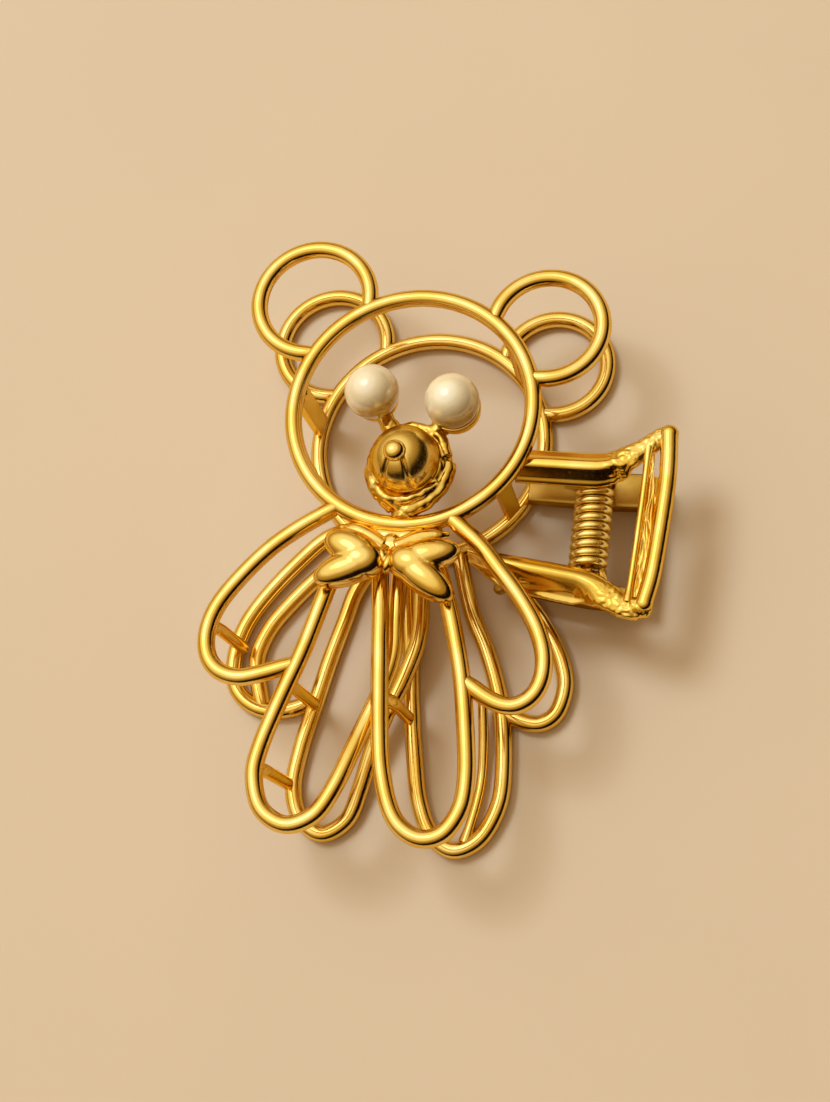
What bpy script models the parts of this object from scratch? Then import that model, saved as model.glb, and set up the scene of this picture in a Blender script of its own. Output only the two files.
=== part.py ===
# Bear-shaped claw hair clip in polished gold-plated wire.
# Two wire bears, one over the other, hinged on a sprung pin beside the body.
# Points are millimetres from the middle of the bear's head:
# +X towards the hinge, +Y out of the top of the head, +Z out of the bear's face.

import math

import bmesh
import bpy
from mathutils import Matrix, Vector

MM = 0.001
ROW_SHIFT = (-4.39, 14.35)      # moves the bear so that the bounding box is centred on the origin
BODY_WIRE_RADIUS = 1.0
SOLDER_GAP = 0.05               # left between soldered pieces
FRONT_PLANE = 13.0              # height of the front bear's wires
REAR_PLANE = 1.0                # height of the rear bear's wires, which rest on the table
REAR_TURN = 1.8                 # degrees the rear bear is turned in its own plane
UNDER_BOW = 12.2                # height of the wires where the bow lies on them
HEAD_RADIUS = 14.2
LEFT_EAR = (-13.8, 13.4, 6.9)   # centre x, centre y, radius
RIGHT_EAR = (14.8, 10.9, 6.4)
PIN_X = 21.5
PIN_HEIGHT = 7.0
PIN_RADIUS = 0.8
PIN_CLEARANCE = 0.04
PIN_ENDS = (-3.75, -19.45)
PIN_SIDES = 32
LUG_RADIUS = 1.8
BAND_THICKNESS = 1.55
FRONT_BAND_BOTTOM = 10.4
REAR_BAND_BOTTOM = 2.05
LUG_THICKNESS = 1.0
SPRING_WIRE_RADIUS = 0.475
SPRING_COIL_RADIUS = 1.82
SPRING_PITCH = 1.05
SPRING_TURNS = 9
SPRING_REAR_END = 8 * 360 + 251  # degrees; the swing fits between these two ends
SPRING_FRONT_START = 8 * 360 + 290
SPRING_TOP = -7.0
MUZZLE_CENTRE = (0.65, -7.2, 15.5)
MUZZLE_RADIUS = 3.95
NOSE_RADIUS = 1.05
PEARL_RADIUS = 3.15
LEFT_PEARL = (-4.2, 0.7, 16.0)
RIGHT_PEARL = (5.3, 0.0, 16.0)
TOOTH_RADIUS = 0.75
TOOTH_TIP = 2.35                # height of the tooth tips, just above the rear wires


def clear_scene():
    for item in list(bpy.data.objects):
        bpy.data.objects.remove(item, do_unlink=True)


def new_collection(name):
    collection = bpy.data.collections.new(name)
    bpy.context.scene.collection.children.link(collection)
    return collection


def new_material(name, colour, roughness, metallic):
    material = bpy.data.materials.new(name)
    material.use_nodes = True
    shader = material.node_tree.nodes["Principled BSDF"]
    shader.inputs["Base Color"].default_value = (*colour, 1.0)
    shader.inputs["Roughness"].default_value = roughness
    shader.inputs["Metallic"].default_value = metallic
    return material


clear_scene()
PARTS = new_collection("bear_hair_clip")
CUTTERS = new_collection("cutters")
GOLD = new_material("gold_plate", (0.92, 0.65, 0.21), 0.15, 1.0)
GOLD_LEVER = new_material("lever_gold_plate", (0.88, 0.60, 0.18), 0.18, 1.0)
SPRING_GOLD = new_material("spring_gold_plate", (0.83, 0.56, 0.18), 0.25, 1.0)
PEARL = new_material("ivory_pearl", (0.89, 0.83, 0.70), 0.28, 0.0)


def place(x, y, z):
    """A point of the design, in metres in the finished frame."""
    return Vector(((x + ROW_SHIFT[0]) * MM, (y + ROW_SHIFT[1]) * MM, z * MM))


def turn(points):
    """The same points turned with the rear bear."""
    angle = math.radians(REAR_TURN)
    return [(x * math.cos(angle) - y * math.sin(angle),
             x * math.sin(angle) + y * math.cos(angle), z) for x, y, z in points]


def raised(route, plane):
    """Route points with the plane's height added where a point gives none."""
    return [point if len(point) == 3 else (*point, plane) for point in route]


def smooth(points, pieces=2):
    """A rounded run of points through the given ones."""
    ends = [Vector(points[0]) * 2 - Vector(points[1])]
    knots = ends + [Vector(p) for p in points] + [Vector(points[-1]) * 2 - Vector(points[-2])]
    run = []
    for a, b, c, d in zip(knots, knots[1:], knots[2:], knots[3:]):
        for step in range(pieces):
            t = step / pieces
            run.append(0.5 * (2 * b + (c - a) * t + (2 * a - 5 * b + 4 * c - d) * t ** 2
                              + (3 * b - a - 3 * c + d) * t ** 3))
    run.append(knots[-2])
    return run


def circle(centre_x, centre_y, radius, height, start=0.0, sweep=360.0, steps=36):
    """Points on an arc; a full turn leaves out the repeated last point."""
    count = steps if sweep == 360.0 else steps + 1
    angles = [math.radians(start + sweep * i / steps) for i in range(count)]
    return [(centre_x + radius * math.cos(a), centre_y + radius * math.sin(a), height) for a in angles]


def weld(mesh):
    body = bmesh.new()
    body.from_mesh(mesh)
    bmesh.ops.remove_doubles(body, verts=body.verts, dist=1e-7)
    bmesh.ops.recalc_face_normals(body, faces=body.faces)
    if body.calc_volume(signed=True) < 0:
        bmesh.ops.reverse_faces(body, faces=body.faces)
    body.to_mesh(mesh)
    body.free()


def add_object(name, mesh, material):
    part = bpy.data.objects.new(name, mesh)
    mesh.materials.clear()
    mesh.materials.append(material)
    PARTS.objects.link(part)
    return part


def make_cutter(part):
    part.hide_render = True
    part.display_type = "WIRE"
    for collection in list(part.users_collection):
        collection.objects.unlink(part)
    CUTTERS.objects.link(part)
    return part


def mesh_from_curve(name, curve, material):
    """A welded mesh object standing where the curve object stood."""
    holder = bpy.data.objects.new(name + "_curve", curve)
    PARTS.objects.link(holder)
    graph = bpy.context.evaluated_depsgraph_get()
    mesh = bpy.data.meshes.new_from_object(holder.evaluated_get(graph))
    bpy.data.objects.remove(holder, do_unlink=True)
    mesh.name = name
    weld(mesh)
    part = add_object(name, mesh, material)
    mesh.shade_smooth()
    return part


def wire(name, points, radius=BODY_WIRE_RADIUS, closed=False, corners=2, material=None):
    curve = bpy.data.curves.new(name, "CURVE")
    curve.dimensions = "3D"
    curve.bevel_depth = radius * MM
    curve.bevel_resolution = corners
    curve.use_fill_caps = not closed
    spline = curve.splines.new("POLY")
    spline.points.add(len(points) - 1)
    for knot, point in zip(spline.points, points):
        knot.co = (*place(*point), 1.0)
    spline.use_cyclic_u = closed
    return mesh_from_curve(name, curve, material or GOLD)


def plate(name, outline, bottom, thickness, rounding=0.0, material=None, upright_y=None):
    """A flat plate: lying on its back, or standing at upright_y with the outline in X and Z."""
    curve = bpy.data.curves.new(name, "CURVE")
    curve.dimensions = "2D"
    curve.fill_mode = "BOTH"
    curve.extrude = (thickness / 2 - rounding) * MM
    curve.bevel_depth = rounding * MM
    curve.bevel_resolution = 1
    curve.offset = -rounding * MM
    spline = curve.splines.new("POLY")
    spline.points.add(len(outline) - 1)
    for knot, (x, y) in zip(spline.points, outline):
        knot.co = (x * MM, y * MM, 0.0, 1.0)
    spline.use_cyclic_u = True
    part = mesh_from_curve(name, curve, material or GOLD_LEVER)
    if upright_y is None:
        move = Matrix.Translation(place(0, 0, bottom + thickness / 2))
    else:
        move = Matrix.Translation(place(0, upright_y, 0)) @ Matrix.Rotation(math.radians(90), 4, "X")
    part.data.transform(move)
    return part


def rod(name, start, end, radius, sides=12, material=None):
    """A straight round rod between two points."""
    a, b = place(*start), place(*end)
    body = bmesh.new()
    bmesh.ops.create_cone(body, cap_ends=True, segments=sides, radius1=radius * MM,
                          radius2=radius * MM, depth=(b - a).length)
    mesh = bpy.data.meshes.new(name)
    body.to_mesh(mesh)
    body.free()
    mesh.transform(Matrix.Translation((a + b) / 2) @ (b - a).to_track_quat("Z", "Y").to_matrix().to_4x4())
    part = add_object(name, mesh, material or GOLD)
    mesh.set_sharp_from_angle(angle=math.radians(40))
    return part


def ball(name, centre, radii, turned=0.0, segments=20, rings=12, material=None):
    """A sphere or a stretched one, turned about Z in degrees."""
    body = bmesh.new()
    bmesh.ops.create_uvsphere(body, u_segments=segments, v_segments=rings, radius=1.0)
    mesh = bpy.data.meshes.new(name)
    body.to_mesh(mesh)
    body.free()
    shape = Matrix.Diagonal((*[r * MM for r in radii], 1.0))
    mesh.transform(Matrix.Translation(place(*centre)) @ Matrix.Rotation(math.radians(turned), 4, "Z") @ shape)
    mesh.shade_smooth()
    return add_object(name, mesh, material or GOLD)


def lathe(name, profile, centre, steps=24):
    """A body turned about a vertical axis; the profile runs from the axis back to the axis."""
    mesh = bpy.data.meshes.new(name)
    mesh.from_pydata([(r * MM, 0.0, z * MM) for r, z in profile],
                     [(i, i + 1) for i in range(len(profile) - 1)], [])
    part = add_object(name, mesh, GOLD)
    part.location = place(centre[0], centre[1], 0)
    screw = part.modifiers.new("turned", "SCREW")
    screw.steps = steps
    screw.render_steps = steps
    screw.use_merge_vertices = True
    screw.merge_threshold = 0.00001
    screw.use_normal_calculate = True
    return bake(part)


def bake(part):
    """The part with its modifiers worked into the mesh."""
    graph = bpy.context.evaluated_depsgraph_get()
    mesh = bpy.data.meshes.new_from_object(part.evaluated_get(graph))
    part.modifiers.clear()
    part.data = mesh
    mesh.name = part.name
    weld(mesh)
    return part


def combine(part, other, operation):
    modifier = part.modifiers.new(operation.lower(), "BOOLEAN")
    modifier.operation = operation
    modifier.solver = "EXACT"
    modifier.object = other


def join(part, pieces):
    """One body out of overlapping pieces."""
    for piece in pieces:
        combine(part, piece, "UNION")
    bake(part)
    for piece in pieces:
        bpy.data.objects.remove(piece, do_unlink=True)
    return part


def cope(part, *cutters):
    for cutter in cutters:
        combine(part, cutter, "DIFFERENCE")
    return part


def wire_cutter(name, points, radius=BODY_WIRE_RADIUS, closed=False):
    return make_cutter(wire(name, points, radius + 2 * SOLDER_GAP, closed, corners=3))


# ---- routes of the wires, as the front and rear bears have them ----

ARM_LEFT_FRONT = [(-7.0, -12.4), (-11.2, -15.3), (-14.4, -18.1), (-17.4, -21.8), (-19.5, -25.3),
                  (-20.2, -28.4), (-19.7, -31.0), (-18.2, -32.7), (-15.8, -33.3), (-13.2, -32.7),
                  (-9.3, -31.2)]
ARM_RIGHT_FRONT = [(6.0, -12.8), (9.9, -15.9), (12.5, -18.7), (15.1, -21.7), (17.1, -24.6),
                   (18.3, -27.5), (18.5, -30.2), (17.8, -32.3), (16.3, -33.6), (14.6, -33.8),
                   (12.6, -33.1), (10.0, -31.5)]
LEG_LEFT_FRONT = [(-4.0, -13.6, UNDER_BOW), (-6.2, -18.5, UNDER_BOW), (-7.3, -23.6, 12.7), (-8.6, -29.6),
                  (-10.4, -35.5), (-11.8, -40.8), (-12.0, -44.2), (-10.6, -47.6), (-7.6, -49.0),
                  (-4.6, -47.6), (-2.8, -44.4), (-1.6, -40.2, 12.2), (-0.7, -36.6, 11.2),
                  (0.5, -32.4, 10.7), (1.2, -28.4, 10.6), (0.9, -24.0, 10.6), (0.5, -14.4, 10.6)]
LEG_RIGHT_FRONT = [(-1.7, -13.8, UNDER_BOW), (-1.2, -19.7, UNDER_BOW), (-0.4, -24.5, 12.7), (0.2, -29.0),
                   (1.4, -38.0), (2.3, -42.5), (3.8, -46.4), (5.6, -48.3), (7.8, -48.9), (9.9, -47.9),
                   (11.3, -45.2), (11.5, -42.0), (11.0, -38.0), (9.8, -31.6), (8.4, -26.6),
                   (6.9, -22.2, 12.7), (5.4, -18.5, UNDER_BOW), (4.2, -13.4, UNDER_BOW)]
ARM_LEFT_REAR = [(-8.6, -11.2), (-11.8, -12.4), (-15.0, -15.6), (-18.2, -19.6), (-20.4, -23.2), (-21.4, -26.5),
                 (-21.5, -29.6), (-20.7, -31.9), (-18.9, -33.5), (-16.4, -34.2), (-13.6, -33.8),
                 (-10.9, -32.6)]
ARM_LEFT_REAR_INNER = [(-6.6, -12.5), (-9.6, -14.8), (-12.6, -17.7), (-15.5, -21.1), (-17.6, -24.2),
                       (-18.7, -27.6), (-18.3, -30.6), (-17.2, -34.0)]
ARM_RIGHT_REAR = [(6.6, -12.5), (9.9, -15.6), (12.9, -18.6), (15.3, -21.4), (17.0, -24.0), (18.2, -26.7),
                  (18.7, -29.4), (18.0, -32.3), (16.4, -33.7), (14.3, -33.7), (11.5, -32.6)]
LEG_LEFT_REAR = [(-4.2, -13.6), (-7.2, -18.6), (-8.4, -22.9), (-9.7, -27.9), (-11.0, -34.1), (-11.9, -38.3),
                 (-12.3, -43.0), (-11.0, -46.6), (-8.2, -48.2), (-5.4, -46.4, 1.1), (-4.2, -43.0, 1.5),
                 (-3.0, -38.6, 2.5), (-1.7, -34.6, 3.2), (0.2, -29.6, 3.3), (1.4, -25.0, 3.3),
                 (1.3, -20.0, 3.3), (0.9, -14.8, 3.3)]
LEG_RIGHT_REAR = [(-1.4, -13.9), (-0.8, -19.5), (0.1, -25.5), (0.8, -32.2), (1.8, -38.5), (2.9, -43.8),
                  (4.7, -47.4), (7.4, -48.9), (10.3, -47.3), (12.1, -43.4), (12.3, -39.0),
                  (11.7, -33.3), (10.6, -29.2), (9.0, -25.0), (7.0, -20.8), (4.6, -13.2)]
TINE_REAR = [(9.5, -32.0, 2.4), (9.8, -36.0, 1.6), (9.9, -40.0), (9.6, -43.2), (8.6, -47.9)]


def rear_path(route):
    return turn(smooth(raised(route, REAR_PLANE)))


def head_ring(side, plane):
    return wire(side + "_head_ring", circle(0, 0, HEAD_RADIUS, plane), closed=True)


def ear(shape, plane):
    """The part of an ear's circle that lies outside the head ring."""
    x, y, radius = shape
    reach = math.hypot(x, y)
    bearing = math.degrees(math.atan2(-y, -x))
    inside = math.degrees(math.acos((reach ** 2 + radius ** 2 - HEAD_RADIUS ** 2) / (2 * reach * radius)))
    return circle(x, y, radius, plane, bearing + inside, 360 - 2 * inside, steps=16)


def front_wires():
    """The front bear's outline; every end is shaped to sit on the wire it is soldered to."""
    ring = wire_cutter("front_ring_cutter", circle(0, 0, HEAD_RADIUS, FRONT_PLANE), closed=True)
    leg_left = smooth(raised(LEG_LEFT_FRONT, FRONT_PLANE))
    leg_right = smooth(raised(LEG_RIGHT_FRONT, FRONT_PLANE))
    left_cutter = wire_cutter("front_leg_left_cutter", leg_left)
    right_cutter = wire_cutter("front_leg_right_cutter", leg_right)
    head_ring("front", FRONT_PLANE)
    cope(wire("front_ear_left", ear(LEFT_EAR, FRONT_PLANE)), ring)
    cope(wire("front_ear_right", ear(RIGHT_EAR, FRONT_PLANE)), ring)
    arm_left = smooth(raised(ARM_LEFT_FRONT, FRONT_PLANE))
    arm_right = smooth(raised(ARM_RIGHT_FRONT, FRONT_PLANE))
    cope(wire("front_arm_left", arm_left), ring, left_cutter)
    cope(wire("front_arm_right", arm_right), ring, right_cutter)
    cope(wire("front_leg_left", leg_left), ring)
    cope(wire("front_leg_right", leg_right), ring)
    return ring, left_cutter, right_cutter, wire_cutter("front_arm_left_cutter", arm_left)


def rear_wires():
    """The rear bear's outline, the same bear turned a little in its plane."""
    ring = wire_cutter("rear_ring_cutter", circle(0, 0, HEAD_RADIUS, REAR_PLANE), closed=True)
    leg_left = rear_path(LEG_LEFT_REAR)
    leg_right = rear_path(LEG_RIGHT_REAR)
    left_cutter = wire_cutter("rear_leg_left_cutter", leg_left)
    right_cutter = wire_cutter("rear_leg_right_cutter", leg_right)
    arm_left = rear_path(ARM_LEFT_REAR)
    arm_cutter = wire_cutter("rear_arm_left_cutter", arm_left)
    head_ring("rear", REAR_PLANE)
    cope(wire("rear_ear_left", turn(ear(LEFT_EAR, REAR_PLANE))), ring)
    cope(wire("rear_ear_right", turn(ear(RIGHT_EAR, REAR_PLANE))), ring)
    cope(wire("rear_arm_left", arm_left), ring, left_cutter)
    cope(wire("rear_arm_left_inner", rear_path(ARM_LEFT_REAR_INNER)), arm_cutter, ring)
    cope(wire("rear_arm_right", rear_path(ARM_RIGHT_REAR)), ring, right_cutter)
    cope(wire("rear_leg_left", leg_left), ring)
    cope(wire("rear_leg_right", leg_right), ring)
    cope(wire("rear_leg_right_tine", rear_path(TINE_REAR), radius=0.6), right_cutter)


def bow():
    """Two heart-shaped lobes and the knot between them, lying on the leg wires."""
    knot = (0.2, -19.1, 15.0)
    lobes = {"bow_left": (((-4.1, -18.0), (3.7, 2.2), -20), ((-4.4, -20.4), (4.1, 2.2), 24)),
             "bow_right": (((4.5, -18.2), (3.9, 2.0), 14), ((4.3, -20.6), (4.4, 2.2), -34))}
    knot_cutter = make_cutter(ball("knot_cutter", knot, (1.25, 1.55, 1.4)))
    for name, humps in lobes.items():
        bodies = [ball(f"{name}_{i}", (*centre, 15.0), (*radii, 1.7), turned, 16, 10)
                  for i, (centre, radii, turned) in enumerate(humps)]
        bodies[0].name = name
        cope(join(bodies[0], bodies[1:]), knot_cutter)
    ball("bow_knot", knot, (1.15, 1.45, 1.3), segments=16, rings=10)


def face(ring_cutter):
    """Muzzle ball and nose in their setting, and the two pearls in cups on its stems."""
    x, y, z = MUZZLE_CENTRE
    seat = MUZZLE_RADIUS + 2 * SOLDER_GAP
    inside = [(seat * math.sin(math.radians(a)), z - seat * math.cos(math.radians(a))) for a in range(66, 0, -16)]
    bowl = [(0, 11.0), (3.4, 11.0), (5.0, 12.2), (5.2, 13.3), (4.5, 13.9), *inside, (0, z - seat)]
    setting = lathe("face_setting", bowl, (x, y))
    foot = rod("foot", (x + 0.2, y - 4.0, 12.6), (x + 0.3, -13.8, 12.8), 1.1)
    stems = [rod("stem_left", (-1.7, -3.9, 12.6), (-2.9, -1.5, 12.6), 0.85),
             rod("stem_right", (2.3, -4.0, 12.6), (3.8, -2.6, 12.6), 0.85)]
    cope(join(setting, [foot, *stems]), ring_cutter)
    ball("muzzle", MUZZLE_CENTRE, [MUZZLE_RADIUS] * 3)
    muzzle_cutter = make_cutter(ball("muzzle_cutter", MUZZLE_CENTRE, [MUZZLE_RADIUS + SOLDER_GAP] * 3))
    nose = ball("nose_bead", (x - 0.35, y - 0.4, z + MUZZLE_RADIUS - 0.12), [NOSE_RADIUS] * 3,
                segments=12, rings=8)
    cope(nose, muzzle_cutter)
    for side, centre, rim in (("left", LEFT_PEARL, 2.5), ("right", RIGHT_PEARL, 2.9)):
        eye(side, centre, rim)


def eye(side, centre, rim):
    """A pearl and the shallow cup it is cemented in."""
    hollow = PEARL_RADIUS + 2 * SOLDER_GAP
    lip = math.degrees(math.asin(rim * 0.9 / hollow))
    inside = [(hollow * math.sin(math.radians(lip * f)), centre[2] - hollow * math.cos(math.radians(lip * f)))
              for f in (1.0, 0.75, 0.5, 0.25)]
    rim_height = inside[0][1]
    profile = [(0, 12.1), (rim * 0.7, 12.1), (rim, 12.9), (rim, rim_height), *inside, (0, centre[2] - hollow)]
    lathe(f"eye_cup_{side}", profile, centre[:2], steps=20)
    ball(f"pearl_{side}", centre, [PEARL_RADIUS] * 3, material=PEARL)


def teeth(ring_cutter, left_cutter, right_cutter, arm_cutter):
    """Posts under the front bear that close down on to the rear bear."""
    round_teeth = {"tooth_arm_left": ((-19.4, -27.6), arm_cutter),
                   "tooth_leg_left_upper": ((-9.6, -33.6), left_cutter),
                   "tooth_leg_left_lower": ((-11.4, -43.2), left_cutter),
                   "tooth_leg_right": ((1.95, -34.2), right_cutter)}
    for name, ((x, y), cutter) in round_teeth.items():
        cope(rod(name, (x, y, TOOTH_TIP), (x, y, FRONT_PLANE - 0.3), TOOTH_RADIUS), cutter)
    flat_teeth = {"tooth_head_upper_left": (174, 2.6), "tooth_head_lower_left": (216, 2.4),
                  "tooth_head_upper_right": (40, 1.4), "tooth_head_lower_right": (324, 2.0)}
    for name, (angle, width) in flat_teeth.items():
        bearing = math.radians(angle)
        middle = Vector((math.cos(bearing), math.sin(bearing))) * (HEAD_RADIUS - 0.2)
        along = Vector((-middle.y, middle.x)).normalized() * width / 2
        across = middle.normalized() * 0.55
        outline = [middle + along + across, middle - along + across,
                   middle - along - across, middle + along - across]
        cope(plate(name, outline, TOOTH_TIP, FRONT_PLANE - 0.3 - TOOTH_TIP, material=GOLD), ring_cutter)


def hinge_arm(name, outline, bottom, lug_y, skirt):
    """A stamped band with a wall standing on its edge that is bored for the pin."""
    band = plate(name, outline, bottom, BAND_THICKNESS, rounding=0.35)
    wall = plate("wall", skirt, 0, LUG_THICKNESS, upright_y=lug_y)
    bore_radius = (PIN_RADIUS + PIN_CLEARANCE) / math.cos(math.pi / PIN_SIDES)
    bore = rod(name + "_bore", (PIN_X, lug_y - 1, PIN_HEIGHT), (PIN_X, lug_y + 1, PIN_HEIGHT),
               bore_radius, PIN_SIDES)
    return cope(join(band, [wall]), make_cutter(bore))


def hinge():
    """Arms, levers, pin and spring."""
    front_floor = FRONT_BAND_BOTTOM + 0.5
    rear_roof = REAR_BAND_BOTTOM + BAND_THICKNESS - 0.5
    front_lug = [p[:2] for p in circle(PIN_X, PIN_HEIGHT, LUG_RADIUS, 0, 190, 170, steps=12)]
    rear_lug = [p[:2] for p in circle(PIN_X, PIN_HEIGHT, LUG_RADIUS, 0, 0, 180, steps=12)]
    front_skirt = [(14.6, front_floor), (14.6, 8.4), (19.0, 7.7), *front_lug, (23.3, front_floor)]
    rear_skirt = [(17.0, rear_roof), (23.3, rear_roof), *rear_lug]
    bar = [(29.7, -1.3, 11.5), (29.9, -9.0, 11.5), (29.3, -17.0, 11.5), (28.5, -21.1, 11.5)]
    bar_cutter = wire_cutter("lever_bar_cutter", smooth(bar))
    upper = [(12.8, -3.5), (21.8, -3.5), (24.4, -2.9), (26.7, -1.9), (29.4, -0.2), (29.9, -1.6),
             (26.8, -4.0), (23.4, -5.8), (23.0, -6.8), (12.8, -6.8)]
    lower = [(10.4, -16.1), (21.2, -17.2), (24.2, -18.3), (27.0, -20.4), (28.8, -21.4), (28.2, -22.6),
             (26.4, -22.4), (22.8, -20.8), (18.0, -19.8), (10.4, -19.1)]
    cope(hinge_arm("front_hinge_arm_upper", upper, FRONT_BAND_BOTTOM, -5.8, front_skirt), bar_cutter)
    cope(hinge_arm("front_hinge_arm_lower", lower, FRONT_BAND_BOTTOM, -18.75, front_skirt), bar_cutter)
    wire("front_lever_bar", smooth(bar), material=GOLD_LEVER)
    rail = [(27.45, -4.0, 11.5), (27.35, -9.2, 11.5), (26.95, -17.3, 11.5), (26.75, -19.5, 11.5)]
    wire("front_lever_rail", rail, radius=0.35, corners=1, material=GOLD_LEVER)
    web = [(27.87, -7.0), (28.7, -7.0), (28.75, -10.0), (28.15, -17.3), (27.65, -19.4), (27.25, -19.4),
           (27.42, -17.2), (27.8, -9.2)]
    plate("front_lever_web", web, 10.9, 0.5)
    upper = [(13.2, -2.9), (26.8, -2.9), (26.8, -7.3), (26.0, -7.7), (13.2, -7.5)]
    lower = [(11.2, -15.6), (22.0, -16.8), (26.6, -16.8), (26.6, -19.6), (22.0, -19.5), (11.2, -18.2)]
    hinge_arm("rear_hinge_arm_upper", upper, REAR_BAND_BOTTOM, -4.65, rear_skirt)
    hinge_arm("rear_hinge_arm_lower", lower, REAR_BAND_BOTTOM, -17.6, rear_skirt)
    wire("rear_lever_bar", [(27.95, -3.4, 2.8), (27.7, -19.2, 2.8)], material=GOLD_LEVER)
    rod("hinge_pin", (PIN_X, PIN_ENDS[0], PIN_HEIGHT), (PIN_X, PIN_ENDS[1], PIN_HEIGHT),
        PIN_RADIUS, PIN_SIDES, GOLD_LEVER)
    spring()


def spring():
    """The coil round the pin, and the end of it that turns with the front lever.

    The two meet under the pin, where a gap as long as the swing lets the coil wind up.
    """
    side = PIN_X + SPRING_COIL_RADIUS
    rear_leg = [(side, SPRING_TOP, REAR_BAND_BOTTOM + BAND_THICKNESS + SOLDER_GAP)]
    coil = spring_turns(0, SPRING_REAR_END)
    wire("torsion_spring", rear_leg + coil, radius=SPRING_WIRE_RADIUS, corners=1, material=SPRING_GOLD)
    last_turn = spring_turns(SPRING_FRONT_START, SPRING_TURNS * 360)
    end = last_turn[-1][1]
    front_leg = [(side, end - 0.1, PIN_HEIGHT + 0.6), (side, end - 0.6, PIN_HEIGHT + 1.7),
                 (side + 0.8, -19.0, FRONT_BAND_BOTTOM - SPRING_WIRE_RADIUS - SOLDER_GAP)]
    wire("spring_leg_front", last_turn + front_leg, radius=SPRING_WIRE_RADIUS, corners=1, material=SPRING_GOLD)


def spring_turns(start, end):
    """Points along the coil between two angles in degrees, counted from its top."""
    steps = math.ceil((end - start) / 30)
    points = []
    for i in range(steps + 1):
        turns = (start + (end - start) * i / steps) / 360
        angle = 2 * math.pi * turns
        points.append((PIN_X + SPRING_COIL_RADIUS * math.cos(angle), SPRING_TOP - SPRING_PITCH * turns,
                       PIN_HEIGHT + SPRING_COIL_RADIUS * math.sin(angle)))
    return points


clear_of = front_wires()
rear_wires()
bow()
face(clear_of[0])
teeth(*clear_of)
hinge()
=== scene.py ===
import math

import bmesh
import bpy
from mathutils import Matrix, Vector, noise


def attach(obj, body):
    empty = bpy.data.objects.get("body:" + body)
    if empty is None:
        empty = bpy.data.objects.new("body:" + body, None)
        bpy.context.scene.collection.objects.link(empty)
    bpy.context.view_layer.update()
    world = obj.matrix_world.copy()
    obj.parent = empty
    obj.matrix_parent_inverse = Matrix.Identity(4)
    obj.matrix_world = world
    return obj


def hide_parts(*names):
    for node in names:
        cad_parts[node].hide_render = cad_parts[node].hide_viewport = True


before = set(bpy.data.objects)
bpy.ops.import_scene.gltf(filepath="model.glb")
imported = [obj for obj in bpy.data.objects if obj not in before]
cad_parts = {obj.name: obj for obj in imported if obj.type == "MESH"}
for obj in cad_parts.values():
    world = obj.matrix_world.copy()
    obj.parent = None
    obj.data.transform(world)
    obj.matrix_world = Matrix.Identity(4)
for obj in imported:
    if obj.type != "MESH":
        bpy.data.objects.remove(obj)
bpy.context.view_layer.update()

# The maker works in millimetres from the middle of the bear's head:
# +X towards the hinge, +Y out of the top of the head, +Z up out of the face.
mm = 0.001
headInRow = (-4.39, 14.35)  # where the middle of the head stands in the row, in mm
scene = bpy.context.scene


def at(x, y, z):
    return Vector(((x + headInRow[0]) * mm, (y + headInRow[1]) * mm, z * mm))


class Sock:
    # a value socket that can be added, subtracted and multiplied
    def __init__(self, graph, socket):
        self.graph = graph
        self.socket = socket

    def math(self, operation, *others, swap=False):
        values = [self, *others]
        if swap:
            values.reverse()
        return self.graph.add("ShaderNodeMath", {"operation": operation}, dict(enumerate(values)))

    def __add__(self, other):
        return self.math("ADD", other)

    def __radd__(self, other):
        return self.math("ADD", other)

    def __sub__(self, other):
        return self.math("SUBTRACT", other)

    def __rsub__(self, other):
        return self.math("SUBTRACT", other, swap=True)

    def __mul__(self, other):
        return self.math("MULTIPLY", other)

    def __rmul__(self, other):
        return self.math("MULTIPLY", other)

    def above(self, edge, width):
        # 0 below the edge, 1 above it, with a soft step
        return self.graph.add("ShaderNodeMapRange", {"interpolation_type": "SMOOTHSTEP"},
                              {"Value": self, "From Min": edge, "From Max": edge + width})


class Graph:
    def __init__(self, owner, shader="Principled BSDF"):
        self.tree = owner.node_tree
        self.shader = self.tree.nodes[shader]

    def add(self, kind, settings=None, inputs=None, output=0):
        node = self.tree.nodes.new(kind)
        for name, value in (settings or {}).items():
            if name == "stops":
                self.setRamp(node.color_ramp, value)
            else:
                setattr(node, name, value)
        for name, value in (inputs or {}).items():
            self.feed(node.inputs[name], value)
        return Sock(self, node.outputs[output])

    def feed(self, socket, value):
        if isinstance(value, Sock):
            self.tree.links.new(value.socket, socket)
        else:
            socket.default_value = value

    def setRamp(self, ramp, stops):
        while len(ramp.elements) < len(stops):
            ramp.elements.new(0.5)
        for element, (place, colour) in zip(ramp.elements, stops):
            element.position = place
            element.color = (*colour, 1.0)

    def mix(self, factor, a, b):
        # colours are sockets 6 and 7 of the Mix node, and its colour result is output 2
        sockets = {0: factor, 6: self.rgba(a), 7: self.rgba(b)}
        return self.add("ShaderNodeMix", {"data_type": "RGBA"}, sockets, 2)

    def rgba(self, colour):
        return colour if isinstance(colour, Sock) else (*colour, 1.0)

    def set(self, **inputs):
        for name, value in inputs.items():
            self.feed(self.shader.inputs[name.replace("_", " ")], value)


def objectPoint(graph):
    return graph.add("ShaderNodeTexCoord", output=3)


def grain(graph, scale, detail=3.0, roughness=0.5, stretch=None, distortion=0.0):
    # noise with its size given in blobs per millimetre
    point = objectPoint(graph)
    if stretch:
        point = graph.add("ShaderNodeMapping", inputs={"Vector": point, "Scale": stretch})
    return graph.add("ShaderNodeTexNoise", inputs={"Vector": point, "Scale": scale / mm, "Detail": detail,
                                                   "Roughness": roughness, "Distortion": distortion})


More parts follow.
